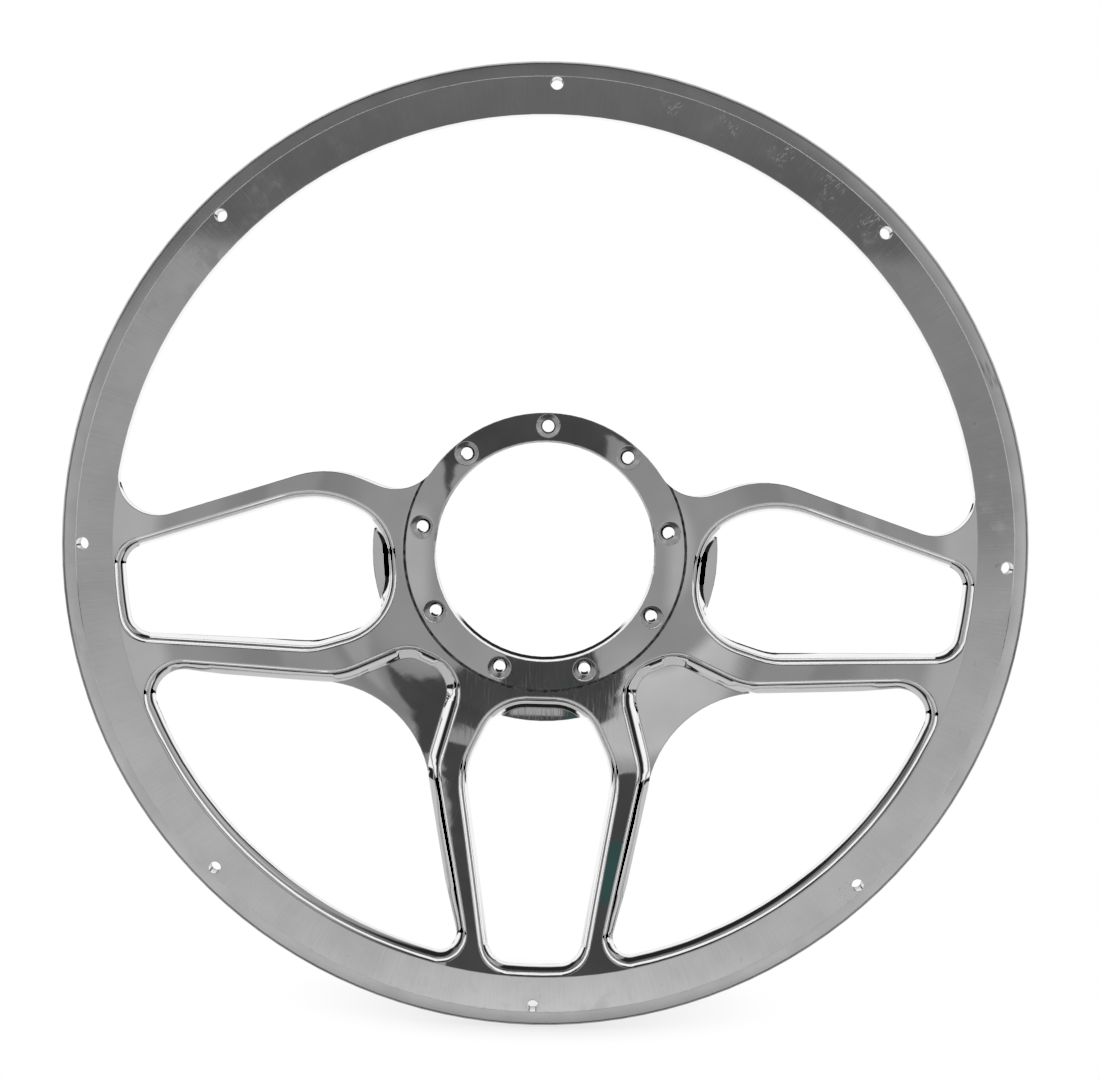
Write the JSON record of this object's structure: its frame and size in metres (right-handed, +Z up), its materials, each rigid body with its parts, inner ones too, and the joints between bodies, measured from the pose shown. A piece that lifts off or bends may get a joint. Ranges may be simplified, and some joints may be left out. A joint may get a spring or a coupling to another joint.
{
  "type": "boat steering wheel frame",
  "caption": "Dished metal steering wheel frame with a flat rim, spokes with bevelled windows and a drilled ring hub.",
  "frame": {"origin": "middle of the hub's rear face, on the wheel's axis", "axes": "the wheel's axis is Y with the driver's side facing -Y, +Z is up and +X is the driver's right"},
  "size_m": [0.3938, 0.0305, 0.3938],
  "materials": {
    "plated_metal": "polished"
  },
  "bodies": {
    "root": {"wheel_frame": "plated_metal"}
  },
  "joints": []
}
